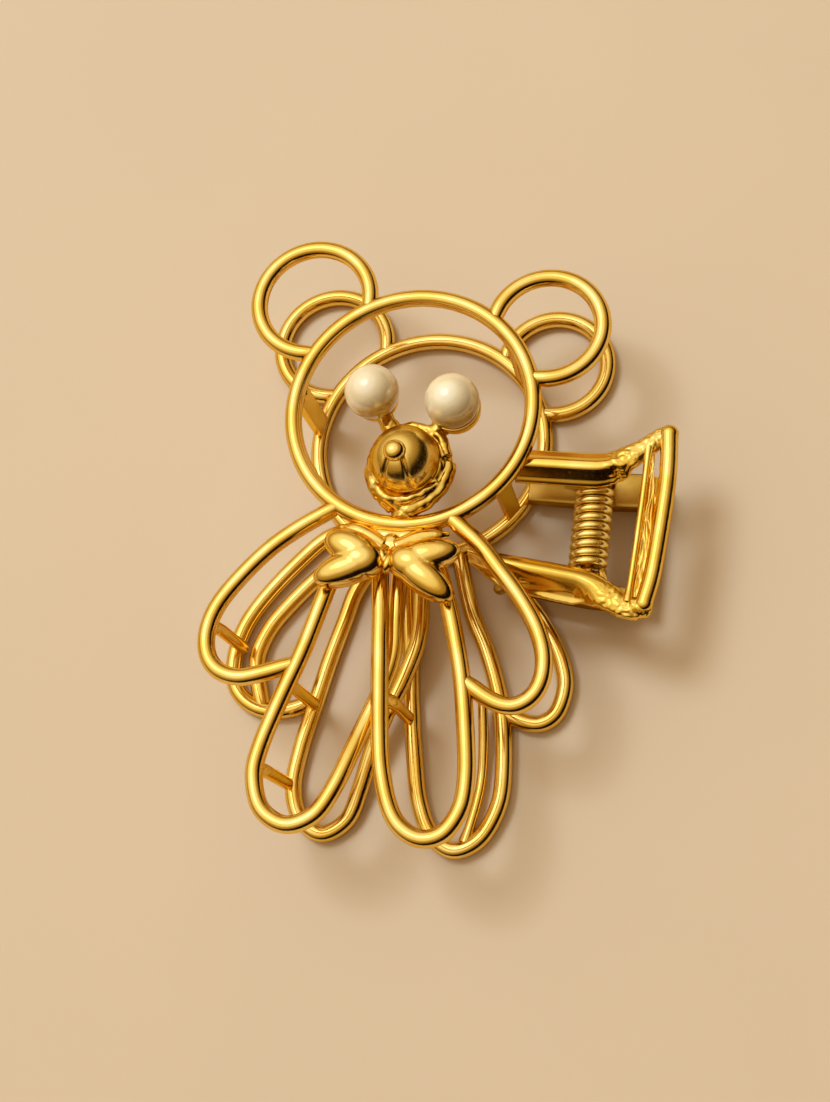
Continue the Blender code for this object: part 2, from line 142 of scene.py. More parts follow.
# each gold finish: two shades of the metal and its shade at a glancing angle, then how worn it is
goldLooks = {
    "gold_plate": {"pale": (0.96, 0.69, 0.22), "deep": (0.89, 0.58, 0.12), "edge": (0.95, 0.69, 0.25),
                   "roughness": 0.13, "roughnessSpread": 0.08, "scratch": 0.10, "lumps": 0.10},
    "lever_gold_plate": {"pale": (0.94, 0.67, 0.19), "deep": (0.84, 0.53, 0.09), "edge": (0.90, 0.62, 0.18),
                         "roughness": 0.14, "roughnessSpread": 0.10, "scratch": 0.14, "lumps": 0.14},
    # a rougher, darker copy of the gold: its darkness is painted shade for the rear arms that lie under the
    # front ones
    "dull_gold_painted_shade": {"pale": (0.62, 0.38, 0.09), "deep": (0.46, 0.26, 0.04), "edge": (0.55, 0.32, 0.08),
                  "roughness": 0.34, "roughnessSpread": 0.12, "scratch": 0.30, "lumps": 0.10},
    "cast_gold": {"pale": (0.90, 0.62, 0.17), "deep": (0.70, 0.42, 0.07), "edge": (0.85, 0.56, 0.15),
                  "roughness": 0.16, "roughnessSpread": 0.14, "scratch": 0.12, "lumps": 0.35},
    "face_gold": {"pale": (0.88, 0.62, 0.18), "deep": (0.76, 0.50, 0.11), "edge": (0.84, 0.58, 0.17),
                  "roughness": 0.21, "roughnessSpread": 0.12, "scratch": 0.10, "lumps": 0.22},
    # paler and yellower than the other gold; the extra paleness is painted light that lifts the coil out of
    # the shade under the arms
    "spring_gold_plate": {"pale": (1.0, 0.84, 0.36), "deep": (0.92, 0.69, 0.23), "edge": (0.95, 0.78, 0.35),
                          "roughness": 0.22, "roughnessSpread": 0.12, "scratch": 0.22, "lumps": 0.08},
}


def makeGold(name, look):
    material = bpy.data.materials.new(name)
    material.use_nodes = True
    graph = Graph(material)
    tone = grain(graph, 0.22, 2.0)
    fine = grain(graph, 1.7, 4.0)
    smear = grain(graph, 0.9, 3.0, 0.6, (1.0, 0.35, 1.0), 0.6)
    hairs = grain(graph, 9.0, 2.0, 0.6, (1.0, 0.12, 1.0), 0.3)
    pits = graph.add("ShaderNodeTexVoronoi", inputs={"Vector": objectPoint(graph), "Scale": 2.6 / mm})
    pit = 1 - pits.above(0.04, 0.10)
    scratch = hairs.above(0.62, 0.05)
    colour = graph.mix(tone.above(0.35, 0.35), look["deep"], look["pale"])
    colour = graph.mix(scratch * 0.18 + pit * 0.25, colour, look["deep"])
    rough = look["roughness"] + (smear - 0.45) * look["roughnessSpread"] + scratch * 0.07 + pit * 0.15
    height = scratch * look["scratch"] * -0.3 + fine * look["lumps"] + tone * look["lumps"] * 2.0 - pit * 0.25
    bump = graph.add("ShaderNodeBump", inputs={"Strength": 0.35, "Distance": 0.00004, "Height": height})
    graph.set(Base_Color=colour, Roughness=rough, Metallic=1.0, Normal=bump)
    graph.shader.inputs["Specular Tint"].default_value = (*look["edge"], 1.0)
    return material


pearlLook = {
    "pale": (0.94, 0.77, 0.52), "deep": (0.90, 0.69, 0.42), "speck": (0.60, 0.45, 0.25),
    "under": (0.64, 0.38, 0.09),        # painted reflection of the gold and painted shade, on the side turned away from the lamp and towards the setting
    "paintedReflectionSide": (0.45, -0.45, -0.77),
    # the same all over
    "sockets": {"Coat Roughness": 0.11, "Coat IOR": 2.3, "Coat Tint": (1.0, 0.97, 0.90, 1.0),
                "Subsurface Weight": 0.2, "Subsurface Scale": 0.0008,
                "Subsurface Radius": (1.0, 0.75, 0.5), "IOR": 1.8},
}


def makePearl(name, look):
    material = bpy.data.materials.new(name)
    material.use_nodes = True
    graph = Graph(material)
    cloud = grain(graph, 0.35, 3.0)
    skin = grain(graph, 5.0, 3.0)
    speck = grain(graph, 1.6, 2.0).above(0.66, 0.06)
    normal = graph.add("ShaderNodeTexCoord", output=1)
    # how far each point faces the side where the golden reflection and shade are painted
    turned = graph.add("ShaderNodeVectorMath", {"operation": "DOT_PRODUCT"},
                       {0: normal, 1: look["paintedReflectionSide"]}, "Value")
    colour = graph.mix(cloud.above(0.35, 0.3), look["deep"], look["pale"])
    colour = graph.mix(turned.above(-0.42, 0.85) * 0.85, colour, look["under"])
    colour = graph.mix(speck * 0.2, colour, look["speck"])
    bump = graph.add("ShaderNodeBump", inputs={"Strength": 0.08, "Distance": 0.00002, "Height": skin})
    graph.set(Base_Color=colour, Roughness=0.24 + cloud * 0.10, Metallic=0.0, Normal=bump,
              Coat_Weight=0.75 + cloud * 0.25)
    for socket, value in look["sockets"].items():
        graph.shader.inputs[socket].default_value = value
    return material


finishes = {name: makeGold(name, look) for name, look in goldLooks.items()}
finishes["ivory_pearl"] = makePearl("ivory_pearl", pearlLook)
print("finishes made")


def pieceName(node):
    first, *others = node.split("_")
    return first + "".join(word.title() for word in others)


def keep(node, mesh, body, slotName, finish=None):
    # a finished piece: its finish, its body, and the plain solid that it stands for
    piece = bpy.data.objects.new(pieceName(node), mesh)
    scene.collection.objects.link(piece)
    mesh.materials.clear()
    mesh.materials.append(finishes[finish or slotName])
    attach(piece, body)
    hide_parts(node)


def meshOf(holder):
    scene.collection.objects.link(holder)
    graph = bpy.context.evaluated_depsgraph_get()
    mesh = bpy.data.meshes.new_from_object(holder.evaluated_get(graph))
    bpy.data.objects.remove(holder, do_unlink=True)
    return mesh


def smooth(points, pieces=6):
    # a smooth run through the points
    ends = [Vector(points[0]) * 2 - Vector(points[1])]
    knots = ends + [Vector(p) for p in points] + [Vector(points[-1]) * 2 - Vector(points[-2])]
    run = []
    for a, b, c, d in zip(knots, knots[1:], knots[2:], knots[3:]):
        for step in range(pieces):
            t = step / pieces
            run.append(0.5 * (2 * b + (c - a) * t + (2 * a - 5 * b + 4 * c - d) * t ** 2
                              + (3 * b - a - 3 * c + d) * t ** 3))
    run.append(knots[-2])
    return run


def wireMesh(name, points, radius, closed=False, flareStart=0.0, flareEnd=0.0, reach=1.0, sides=20,
             wobble=0.02):
    # a drawn wire, slightly uneven; a flare makes its end thicker, or thinner when it is below zero
    curve = bpy.data.curves.new(name, "CURVE")
    curve.dimensions = "3D"
    curve.bevel_depth = radius * mm
    curve.bevel_resolution = (sides - 4) // 2
    curve.use_fill_caps = not closed
    spline = curve.splines.new("POLY")
    spline.points.add(len(points) - 1)
    places = [at(*p) for p in points]
    run = [0.0]
    for a, b in zip(places, places[1:]):
        run.append(run[-1] + (b - a).length / mm)
    for knot, place, s in zip(spline.points, places, run):
        knot.co = (*place, 1.0)
        swell = flareStart * math.exp(-(s / reach) ** 2)
        swell += flareEnd * math.exp(-((run[-1] - s) / reach) ** 2)
        uneven = 0.0 if closed else wobble * noise.noise(place * 180)
        knot.radius = 1.0 + swell + uneven
    spline.use_cyclic_u = closed
    mesh = meshOf(bpy.data.objects.new(name, curve))
    mesh.shade_smooth()
    return mesh


def blendMesh(name, meshes, voxel=0.12, rounds=5, lumps=0.0, lumpSize=1.0):
    # several shapes run together like solder or a casting
    joined = bmesh.new()
    for mesh in meshes:
        joined.from_mesh(mesh)
    mesh = bpy.data.meshes.new(name)
    joined.to_mesh(mesh)
    joined.free()
    holder = bpy.data.objects.new(name, mesh)
    remesh = holder.modifiers.new("run together", "REMESH")
    remesh.mode = "VOXEL"
    remesh.voxel_size = voxel * mm
    relax = holder.modifiers.new("relaxed", "SMOOTH")
    relax.factor = 0.5
    relax.iterations = rounds
    result = meshOf(holder)
    if lumps:
        result.update()
        normals = [v.normal.copy() for v in result.vertices]
        for vertex, normal in zip(result.vertices, normals):
            vertex.co += normal * lumps * mm * noise.noise(vertex.co / (lumpSize * mm))
    result.shade_smooth()
    return result


def blob(centre, radii, turned=0.0, segments=32, rings=20):
    body = bmesh.new()
    bmesh.ops.create_uvsphere(body, u_segments=segments, v_segments=rings, radius=1.0)
    mesh = bpy.data.meshes.new("blob")
    body.to_mesh(mesh)
    body.free()
    stretch = Matrix.Diagonal((*[r * mm for r in radii], 1.0))
    mesh.transform(Matrix.Translation(at(*centre)) @ Matrix.Rotation(math.radians(turned), 4, "Z") @ stretch)
    mesh.shade_smooth()
    return mesh


def slab(outline, low, high, uprightY=None):
    # a plate from its outline, lying down, or standing across Y with the outline in X and Z
    body = bmesh.new()
    if uprightY is None:
        rings = [[body.verts.new(at(x, y, z)) for x, y in outline] for z in (low, high)]
    else:
        rings = [[body.verts.new(at(x, uprightY + y, z)) for x, z in outline] for y in (low, high)]
    body.faces.new(rings[0])
    body.faces.new(rings[1][::-1])
    count = len(outline)
    for i in range(count):
        j = (i + 1) % count
        body.faces.new((rings[0][i], rings[1][i], rings[1][j], rings[0][j]))
    bmesh.ops.recalc_face_normals(body, faces=body.faces)
    mesh = bpy.data.meshes.new("slab")
    body.to_mesh(mesh)
    body.free()
    return mesh


def turnedMesh(name, profile, centre, steps=64):
    # a body turned about a vertical axis
    body = bmesh.new()
    rings = []
    for r, z in profile:
        if r < 1e-6:
            rings.append([body.verts.new(at(centre[0], centre[1], z))])
        else:
            rings.append([body.verts.new(at(centre[0] + r * math.cos(2 * math.pi * i / steps),
                                            centre[1] + r * math.sin(2 * math.pi * i / steps), z))
                          for i in range(steps)])
    for a, b in zip(rings, rings[1:]):
        for i in range(steps):
            j = (i + 1) % steps
            corners = [a[i % len(a)], a[j % len(a)], b[j % len(b)], b[i % len(b)]]
            body.faces.new(list(dict.fromkeys(corners)))
    bmesh.ops.recalc_face_normals(body, faces=body.faces)
    mesh = bpy.data.meshes.new(name)
    body.to_mesh(mesh)
    body.free()
    mesh.shade_smooth()
    return mesh


bear = {
    "wireRadius": 1.0,
    "frontHeight": 13.0,
    "rearHeight": 1.0,
    "underBow": 12.2,       # height of the wires that the bow lies on
    "rearTurn": 1.8,        # degrees
    "headRadius": 14.2,
    "leftEar": (-13.8, 13.4, 6.9),
    "rightEar": (14.8, 10.9, 6.4),
    "solderFlare": -0.16,   # a soldered end is dressed a little thinner, so that it sinks into its neighbour
}
low = bear["underBow"]
routes = {
    "front_arm_left": [(-7.0, -12.4), (-11.2, -15.3), (-14.4, -18.1), (-17.4, -21.8), (-19.5, -25.3),
                       (-20.2, -28.4), (-19.7, -31.0), (-18.2, -32.7), (-15.8, -33.3), (-13.2, -32.7),
                       (-9.3, -31.2)],
    "front_arm_right": [(6.0, -12.8), (9.9, -15.9), (12.5, -18.7), (15.1, -21.7), (17.1, -24.6),
                        (18.3, -27.5), (18.5, -30.2), (17.8, -32.3), (16.3, -33.6), (14.6, -33.8),
                        (12.6, -33.1), (10.0, -31.5)],
    "front_leg_left": [(-4.0, -13.6, low), (-6.2, -18.5, low), (-7.3, -23.6, 12.7), (-8.6, -29.6),
                       (-10.4, -35.5), (-11.8, -40.8), (-12.0, -44.2), (-10.6, -47.6), (-7.6, -49.0),
                       (-4.6, -47.6), (-2.8, -44.4), (-1.6, -40.2, 12.2), (-0.7, -36.6, 11.2),
                       (0.5, -32.4, 10.7), (1.2, -28.4, 10.6), (0.9, -24.0, 10.6), (0.5, -14.4, 10.6)],
    "front_leg_right": [(-1.7, -13.8, low), (-1.2, -19.7, low), (-0.4, -24.5, 12.7), (0.2, -29.0),
                        (1.4, -38.0), (2.3, -42.5), (3.8, -46.4), (5.6, -48.3), (7.8, -48.9), (9.9, -47.9),
                        (11.3, -45.2), (11.5, -42.0), (11.0, -38.0), (9.8, -31.6), (8.4, -26.6),
                        (6.9, -22.2, 12.7), (5.4, -18.5, low), (4.2, -13.4, low)],
    "rear_arm_left": [(-8.6, -11.2), (-11.8, -12.4), (-15.0, -15.6), (-18.2, -19.6), (-20.4, -23.2),
                      (-21.4, -26.5), (-21.5, -29.6), (-20.7, -31.9), (-18.9, -33.5), (-16.4, -34.2),
                      (-13.6, -33.8), (-10.9, -32.6)],
    "rear_arm_left_inner": [(-6.6, -12.5), (-9.6, -14.8), (-12.6, -17.7), (-15.5, -21.1), (-17.6, -24.2),
                            (-18.7, -27.6), (-18.3, -30.6), (-17.2, -34.0)],
    "rear_arm_right": [(6.6, -12.5), (9.9, -15.6), (12.9, -18.6), (15.3, -21.4), (17.0, -24.0), (18.2, -26.7),
                       (18.7, -29.4), (18.0, -32.3), (16.4, -33.7), (14.3, -33.7), (11.5, -32.6)],
    "rear_leg_left": [(-4.2, -13.6), (-7.2, -18.6), (-8.4, -22.9), (-9.7, -27.9), (-11.0, -34.1),
                      (-11.9, -38.3), (-12.3, -43.0), (-11.0, -46.6), (-8.2, -48.2), (-5.4, -46.4, 1.1),
                      (-4.2, -43.0, 1.5), (-3.0, -38.6, 2.5), (-1.7, -34.6, 3.2), (0.2, -29.6, 3.3),
                      (1.4, -25.0, 3.3), (1.3, -20.0, 3.3), (0.9, -14.8, 3.3)],
    "rear_leg_right": [(-1.4, -13.9), (-0.8, -19.5), (0.1, -25.5), (0.8, -32.2), (1.8, -38.5), (2.9, -43.8),
                       (4.7, -47.4), (7.4, -48.9), (10.3, -47.3), (12.1, -43.4), (12.3, -39.0),
                       (11.7, -33.3), (10.6, -29.2), (9.0, -25.0), (7.0, -20.8), (4.6, -13.2)],
}
tine = {
    "route": [(9.5, -32.0, 2.4), (9.8, -36.0, 1.6), (9.9, -40.0, 1.0), (9.6, -43.2, 1.0), (8.6, -47.9, 1.0)],
    "radius": 0.6,
}


def turnRear(points):
    angle = math.radians(bear["rearTurn"])
    return [(x * math.cos(angle) - y * math.sin(angle), x * math.sin(angle) + y * math.cos(angle), z)
            for x, y, z in points]


def lifted(route, height):
    return [p if len(p) == 3 else (*p, height) for p in route]


def arc(x, y, radius, height, start=0.0, sweep=360.0, steps=120):
    count = steps if sweep == 360.0 else steps + 1
    angles = [math.radians(start + sweep * i / steps) for i in range(count)]
    return [(x + radius * math.cos(a), y + radius * math.sin(a), height) for a in angles]


def earPoints(shape, height):
    x, y, radius = shape
    reach = math.hypot(x, y)
    bearing = math.degrees(math.atan2(-y, -x))
    head = bear["headRadius"]
    inside = math.degrees(math.acos((reach ** 2 + radius ** 2 - head ** 2) / (2 * reach * radius)))
    return arc(x, y, radius, height, bearing + inside, 360 - 2 * inside, 72)


def soldered(node, points):
    # a body wire whose two ends are soldered to its neighbours
    flare = bear["solderFlare"]
    return wireMesh(node, points, bear["wireRadius"], flareStart=flare, flareEnd=flare)


for side in ("front", "rear"):
    body, height = side + "_jaw", bear[side + "Height"]
    place = turnRear if side == "rear" else list
    node = side + "_head_ring"
    ring = arc(0, 0, bear["headRadius"], height, steps=160)
    keep(node, wireMesh(node, ring, bear["wireRadius"], closed=True), body, "gold_plate")
    for hand in ("left", "right"):
        node = f"{side}_ear_{hand}"
        keep(node, soldered(node, place(earPoints(bear[hand + "Ear"], height))), body, "gold_plate")
    for node in [n for n in routes if n.startswith(side)]:
        keep(node, soldered(node, place(smooth(lifted(routes[node], height)))), body, "gold_plate")
tineMesh = wireMesh("tine", turnRear(smooth(tine["route"])), tine["radius"], flareEnd=0.4)
keep("rear_leg_right_tine", tineMesh, "rear_jaw", "gold_plate")
print("wire bears made")

bow = {
    "height": 15.0,
    "left": [((-4.0, -18.0), (3.6, 2.1, 2.0), -20), ((-4.3, -20.3), (4.1, 2.0, 2.0), 24),
             ((-2.9, -19.2), (2.8, 2.3, 2.1), 0)],
    "right": [((4.5, -18.2), (3.9, 1.9, 1.9), 14), ((4.3, -20.5), (4.5, 2.0, 2.0), -34),
              ((2.9, -19.2), (2.8, 2.2, 2.1), -12)],
    "knot": [((-0.35, -18.7, 15.0), (0.6, 1.2, 1.0), 24), ((0.35, -19.4, 15.1), (0.65, 1.3, 1.0), -14),
             ((0.0, -17.0, 13.9), (1.2, 1.4, 0.7), 0)],
    "ribbons": [([(-6.4, -14.9, 13.0), (-3.4, -15.6, 13.5), (-0.7, -17.2, 14.0)], 0.85),
                ([(-4.4, -16.4, 13.3), (-2.4, -16.8, 14.0), (-0.3, -18.0, 14.4)], 0.7),
                ([(6.4, -15.0, 13.0), (3.4, -15.7, 13.6), (0.6, -17.2, 14.0)], 0.85),
                ([(5.0, -16.2, 13.3), (2.6, -16.8, 14.0), (0.5, -18.1, 14.4)], 0.7),
                ([(-3.2, -15.2, 13.0), (0.0, -15.7, 13.2), (3.4, -15.2, 13.0)], 0.9)],
}
for hand in ("left", "right"):
    lobes = [blob((*centre, bow["height"]), radii, turned) for centre, radii, turned in bow[hand]]
    keep("bow_" + hand, blendMesh("bow", lobes, 0.12, 14), "front_jaw", "gold_plate")
knot = [blob(centre, radii, turned) for centre, radii, turned in bow["knot"]]
knot += [wireMesh("ribbon", smooth(path), thickness, flareStart=-0.6) for path, thickness in bow["ribbons"]]
knotMesh = blendMesh("knot", knot, 0.1, 5, lumps=0.06, lumpSize=1.2)
keep("bow_knot", knotMesh, "front_jaw", "gold_plate")
print("bow made")

face = {
    "muzzle": (0.65, -7.2, 15.5), "muzzleRadius": 3.95,
    "nose": (0.3, -7.6, 19.3), "noseRadii": (1.3, 1.25, 1.05),
    "eyes": {"left": ((-4.2, 0.7, 16.0), 2.5), "right": ((5.3, 0.0, 16.0), 2.9)},
    "pearlRadius": 3.15,
    "creaseDepth": 0.35,
}


def muzzleMesh():
    # a ball with the two folds of a bear's mouth running down from the nose
    mesh = blob(face["muzzle"], [face["muzzleRadius"]] * 3, segments=96, rings=64)
    centre = at(*face["muzzle"])
    for vertex in mesh.vertices:
        ray = (vertex.co - centre).normalized()
        east, north = ray.x, ray.y
        if ray.z < 0.1:
            continue
        dent = 0.0
        for way in (-1, 1):
            fold = way * (0.16 + 0.34 * max(0.0, -north - 0.1))
            dent += math.exp(-((east + 0.06 - fold) / 0.06) ** 2) * max(0.0, min(1.0, (-0.12 - north) * 5))
        vertex.co -= ray * dent * face["creaseDepth"] * mm
    mesh.update()
    return mesh


keep("muzzle", muzzleMesh(), "front_jaw", "gold_plate", "face_gold")
noseMesh = blendMesh("nose", [blob(face["nose"], face["noseRadii"])], 0.08, 2)
keep("nose_bead", noseMesh, "front_jaw", "gold_plate")
casting = {
    # outline of the bowl under the muzzle: distance from its middle, and height
    "bowl": [(0, 11.0), (2.2, 11.0), (3.4, 11.1), (4.4, 11.6), (4.95, 12.3), (5.1, 13.0), (5.0, 13.5),
             (4.6, 14.1), (4.1, 14.5), (3.85, 14.7), (0, 14.7)],
    "shelf": ((0.6, -10.9, 12.9), (3.4, 1.7, 1.2)),
    # the foot on the wires below, the two stems to the eyes, and how thick each is
    "stems": [([(0.75, -11.2, 12.6), (0.75, -12.4, 12.7), (0.75, -13.6, 12.8)], 1.4),
              ([(-0.9, -4.1, 13.2), (-2.2, -2.4, 13.2), (-3.5, -0.6, 13.3)], 1.0),
              ([(2.8, -3.8, 13.4), (3.6, -2.6, 13.4), (4.7, -1.2, 13.2)], 1.1)],
    # folds of the metal round the muzzle
    "folds": [([(-3.7, -6.4, 12.9), (-3.6, -8.6, 13.4), (-2.3, -10.8, 13.7), (-0.5, -12.3, 13.2)], 0.75),
              ([(-2.9, -10.3, 14.2), (-1.0, -11.4, 14.4), (0.6, -12.4, 13.6)], 0.7),
              ([(5.3, -6.6, 13.2), (5.0, -9.0, 13.5), (3.4, -11.3, 13.6), (0.9, -12.7, 13.4)], 0.9),
              ([(4.5, -9.4, 14.0), (2.8, -10.9, 14.5), (0.6, -11.7, 14.5), (-1.4, -11.2, 14.3)], 0.6),
              ([(2.4, -2.9, 13.7), (4.2, -3.9, 13.9), (5.0, -6.0, 13.8)], 0.7),
              ([(-1.6, -3.2, 13.6), (0.6, -2.5, 13.6), (2.6, -2.9, 13.8)], 0.65)],
    "lumps": 0.2,
}
setting = [turnedMesh("bowl", casting["bowl"], face["muzzle"][:2]), blob(*casting["shelf"])]
setting += [wireMesh("stem", path, thickness) for path, thickness in casting["stems"]]
setting += [wireMesh("fold", smooth(path), thickness) for path, thickness in casting["folds"]]
settingMesh = blendMesh("setting", setting, 0.11, 4, lumps=casting["lumps"])
keep("face_setting", settingMesh, "front_jaw", "gold_plate", "cast_gold")
for hand, (centre, rim) in face["eyes"].items():
    pearl = blob(centre, [face["pearlRadius"]] * 3, segments=64, rings=40)
    keep("pearl_" + hand, pearl, "front_jaw", "ivory_pearl")
    hollow = face["pearlRadius"] - 0.05
    lip = math.degrees(math.asin(rim * 0.9 / hollow))
    angles = [math.radians(lip * f / 6) for f in range(6, 0, -1)]
    inside = [(hollow * math.sin(a), centre[2] - hollow * math.cos(a)) for a in angles]
    top = inside[0][1]
    cup = [(0, 12.1), (rim * 0.6, 12.1), (rim * 0.9, 12.5), (rim, 13.0), (rim + 0.15, top - 0.15),
           (rim + 0.1, top + 0.1), *inside, (0, centre[2] - hollow)]
    keep("eye_cup_" + hand, turnedMesh("cup", cup, centre[:2]), "front_jaw", "gold_plate")
print("face made")

teeth = {
    "tip": 2.35, "top": 12.7, "radius": 0.75,
    # foot of each tooth in plan, then the point on the wire that it hangs from
    "round": {"tooth_arm_left": (-19.4, -27.6, -20.0, -27.6),
              "tooth_leg_left_upper": (-9.6, -33.6, -9.9, -33.6),
              "tooth_leg_left_lower": (-11.4, -43.2, -12.0, -43.2),
              "tooth_leg_right": (1.95, -34.2, 0.9, -34.0)},
    # where round the head each flat tooth stands, in degrees, and its width
    "flat": {"tooth_head_upper_left": (174, 2.6), "tooth_head_lower_left": (216, 2.4),
             "tooth_head_upper_right": (40, 1.4), "tooth_head_lower_right": (324, 2.0)},
}
for node, (x, y, topX, topY) in teeth["round"].items():
    path = smooth([(topX, topY, 12.9), (topX * 0.5 + x * 0.5, topY * 0.5 + y * 0.5, 12.0), (x, y, 10.6),
                   (x, y, 6.5), (x, y, teeth["tip"])])
    mesh = wireMesh(node, path, teeth["radius"], flareStart=0.15, reach=1.2)
    keep(node, mesh, "front_jaw", "gold_plate")
for node, (angle, width) in teeth["flat"].items():
    bearing = math.radians(angle)
    middle = Vector((math.cos(bearing), math.sin(bearing))) * (bear["headRadius"] - 0.2)
    along = Vector((-middle.y, middle.x)).normalized() * width / 2
    across = middle.normalized() * 0.55
    outline = [tuple(middle + a * along + b * across) for a, b in ((1, 1), (-1, 1), (-1, -1), (1, -1))]
    collar = blob((*middle, 12.2), (0.9, width * 0.62, 0.5), angle)
    mesh = blendMesh(node, [slab(outline, teeth["tip"], teeth["top"]), collar], 0.1, 4)
    keep(node, mesh, "front_jaw", "gold_plate")
print("teeth made")

hinge = {
    "pinX": 21.5, "pinHeight": 7.0, "pinRadius": 0.8, "pinTop": -3.75, "pinLength": 15.7,
    "lugRadius": 1.8, "frontBand": 10.4, "rearBand": 2.05,  # undersides of the arms
}

# sections of the arms: distance down from the upper edge, and height over the underside
flatSection = [(0.0, 0.0), (0.0, 0.9), (0.03, 1.3), (0.15, 1.48), (0.5, 1.55), (1.2, 1.58), (1.9, 1.6),
               (2.6, 1.6), (3.3, 1.6), (3.8, 1.57), (4.1, 1.48), (4.23, 1.3), (4.25, 0.9), (4.25, 0.0)]
channelSection = [(0.0, 0.0), (0.0, 0.5), (0.1, 0.65), (0.5, 0.9), (0.95, 1.18), (1.2, 1.42), (1.5, 1.6),
                  (2.1, 1.62), (2.35, 1.5), (3.35, 0.38), (3.6, 0.25), (3.95, -0.1), (3.85, -0.45),
                  (3.4, -0.45)]
slopedSection = [(0.0, 0.0), (0.0, 0.5), (0.1, 0.75), (0.4, 1.1), (0.8, 1.4), (1.1, 1.55), (1.4, 1.56),
                 (1.75, 1.4), (2.1, 1.12), (3.0, 0.28), (3.4, 0.02), (4.0, -0.15), (4.1, -0.5), (3.6, -0.5)]
roundSection = [(0.2, 0.3), (0.0, 0.7), (0.1, 1.05), (0.25, 1.3), (0.5, 1.5), (0.8, 1.6), (1.0, 1.62),
                (1.2, 1.6), (1.45, 1.5), (1.7, 1.3), (1.85, 1.0), (1.9, 0.7), (1.75, 0.35), (1.4, 0.1)]


def blendSections(a, b, share):
    return [(u + (p - u) * share, v + (q - v) * share) for (u, v), (p, q) in zip(a, b)]


def bandMesh(stations, bottom, pieces=8):
    # an arm swept along its upper edge; each station is x, y, the section and a width factor
    body = bmesh.new()
    rings = []
    edge = smooth([(x, y, 0.0) for x, y, section, width in stations], pieces)
    for i, place in enumerate(edge):
        first, step = divmod(i, pieces)
        second = min(first + 1, len(stations) - 1)
        share = step / pieces
        section = blendSections(stations[first][2], stations[second][2], share)
        width = stations[first][3] + (stations[second][3] - stations[first][3]) * share
        ahead = edge[min(i + 1, len(edge) - 1)] - edge[max(i - 1, 0)]
        down = Vector((ahead.y, -ahead.x, 0.0)).normalized()
        rings.append([body.verts.new(at(*(place + down * u * width + Vector((0, 0, bottom + v)))))
                      for u, v in section])
    size = len(rings[0])
    for a, b in zip(rings, rings[1:]):
        for i in range(size):
            j = (i + 1) % size
            body.faces.new((a[i], a[j], b[j], b[i]))
    body.faces.new(rings[0])
    body.faces.new(rings[-1][::-1])
    bmesh.ops.recalc_face_normals(body, faces=body.faces)
    mesh = bpy.data.meshes.new("band")
    body.to_mesh(mesh)
    body.free()
    return mesh


def wrinkle(mesh, start, full, depth, size, streak=1.0):
    # the casting is wrinkled towards the lever's end, from start on along X and fully so from full on
    low, high = at(start, 0, 0).x, at(full, 0, 0).x
    mesh.update()
    normals = [v.normal.copy() for v in mesh.vertices]
    for vertex, normal in zip(mesh.vertices, normals):
        share = max(0.0, min(1.0, (vertex.co.x - low) / (high - low)))
        place = vertex.co / (size * mm)
        place.y /= streak
        ridges = abs(noise.noise(place)) * 2 - 0.5 + noise.noise(place * 2.3) * 0.4
        vertex.co += normal * ridges * depth * share * mm
    mesh.update()


lugFront = [p[:2] for p in arc(hinge["pinX"], hinge["pinHeight"], hinge["lugRadius"], 0, 190, 170, 24)]
lugRear = [p[:2] for p in arc(hinge["pinX"], hinge["pinHeight"], hinge["lugRadius"], 0, 0, 180, 24)]
frontSkirt = [(14.6, 11.0), (14.6, 8.4), (19.0, 7.7), *lugFront, (23.3, 11.0)]
rearSkirt = [(17.0, 3.0), (23.3, 3.0), *lugRear]
arms = {
    "front_hinge_arm_upper": {
        "body": "front_jaw", "skirtY": -5.8, "skirt": frontSkirt, "finish": "lever_gold_plate",
        "stations": [(12.6, -3.45, channelSection, 1.0), (17.0, -3.5, channelSection, 1.0),
                     (21.8, -3.5, channelSection, 1.0), (23.4, -3.2, channelSection, 0.9),
                     (24.6, -2.7, roundSection, 1.55), (26.7, -1.45, roundSection, 1.3),
                     (28.3, -0.25, roundSection, 1.2), (29.4, 0.1, roundSection, 1.1)]},
    "front_hinge_arm_lower": {
        "body": "front_jaw", "skirtY": -18.75, "skirt": frontSkirt, "finish": "lever_gold_plate",
        "knob": ((28.0, -21.4, 11.35), (1.5, 1.15, 1.0), -20),
        "stations": [(8.3, -15.9, slopedSection, 0.34), (10.2, -15.9, slopedSection, 0.62),
                     (12.8, -16.2, slopedSection, 0.92), (16.0, -16.55, slopedSection, 1.0),
                     (19.0, -16.9, slopedSection, 1.02), (21.4, -17.25, slopedSection, 1.02),
                     (23.3, -17.9, blendSections(slopedSection, roundSection, 0.5), 1.22),
                     (25.3, -19.0, roundSection, 1.7), (27.0, -20.2, roundSection, 1.45),
                     (28.7, -20.9, roundSection, 1.1)]},
    # the rear arms take the darker gold, whose darkness is painted shade
    "rear_hinge_arm_upper": {
        "body": "rear_jaw", "skirtY": -4.65, "skirt": rearSkirt, "finish": "dull_gold_painted_shade",
        "stations": [(13.2, -3.0, flatSection, 1.0), (18.0, -3.0, flatSection, 1.02),
                     (23.0, -2.95, flatSection, 1.06), (26.8, -2.95, flatSection, 1.03)]},
    "rear_hinge_arm_lower": {
        "body": "rear_jaw", "skirtY": -17.6, "skirt": rearSkirt, "finish": "dull_gold_painted_shade",
        "knob": ((11.1, -18.1, 3.1), (0.8, 0.75, 0.75)),
        "stations": [(11.2, -15.6, flatSection, 0.62), (16.5, -16.2, flatSection, 0.64),
                     (22.0, -16.8, flatSection, 0.66), (26.6, -16.85, flatSection, 0.66)]},
}
armWrinkles = {"start": 22.6, "full": 24.5, "depth": 0.09, "size": 0.8}
